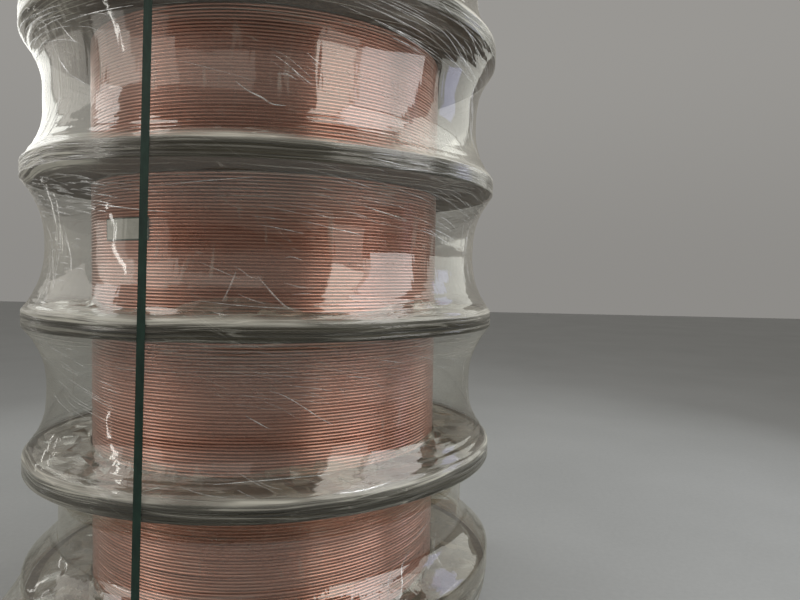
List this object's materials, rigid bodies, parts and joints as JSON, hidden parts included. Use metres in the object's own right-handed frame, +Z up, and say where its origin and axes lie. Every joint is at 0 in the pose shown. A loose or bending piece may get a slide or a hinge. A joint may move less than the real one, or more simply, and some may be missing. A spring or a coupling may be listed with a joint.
{
  "type": "copper tube coil stack",
  "caption": "Level-wound copper tube coils stacked between round boards on a wooden pallet, wrapped in clear stretch film and held by a strap.",
  "frame": {"origin": "on the floor, under the axis of the stack", "axes": "+Z up along the stack's axis; the pallet's edges run along X and Y; the strap runs down the -Y and +Y sides; the picture was taken from the -Y side, turned towards +X"},
  "size_m": [1.172, 1.1756, 1.7823],
  "materials": {
    "copper_tube": "bright drawn copper tube, slightly dulled",
    "round_board": "dark pressed-wood board, sawn edge",
    "pallet_wood": "rough-sawn softwood",
    "stretch_film": "clear stretch film, glossy, pleated",
    "strap": "dark green polyester strap",
    "label": "plain printed paper, dark border"
  },
  "bodies": {
    "root": {"coil_1": "copper_tube", "coil_2": "copper_tube", "coil_3": "copper_tube", "coil_4": "copper_tube", "coil_5": "copper_tube", "bottom_board_1": "round_board", "bottom_board_2": "round_board", "bottom_board_3": "round_board", "bottom_board_4": "round_board", "bottom_board_5": "round_board", "top_board_1": "round_board", "top_board_2": "round_board", "top_board_3": "round_board", "top_board_4": "round_board", "top_board_5": "round_board", "deck_boards": "pallet_wood", "stringer_boards": "pallet_wood", "pallet_blocks": "pallet_wood", "bottom_runners": "pallet_wood", "stretch_film": "stretch_film", "strap": "strap", "label": "label"}
  },
  "joints": []
}
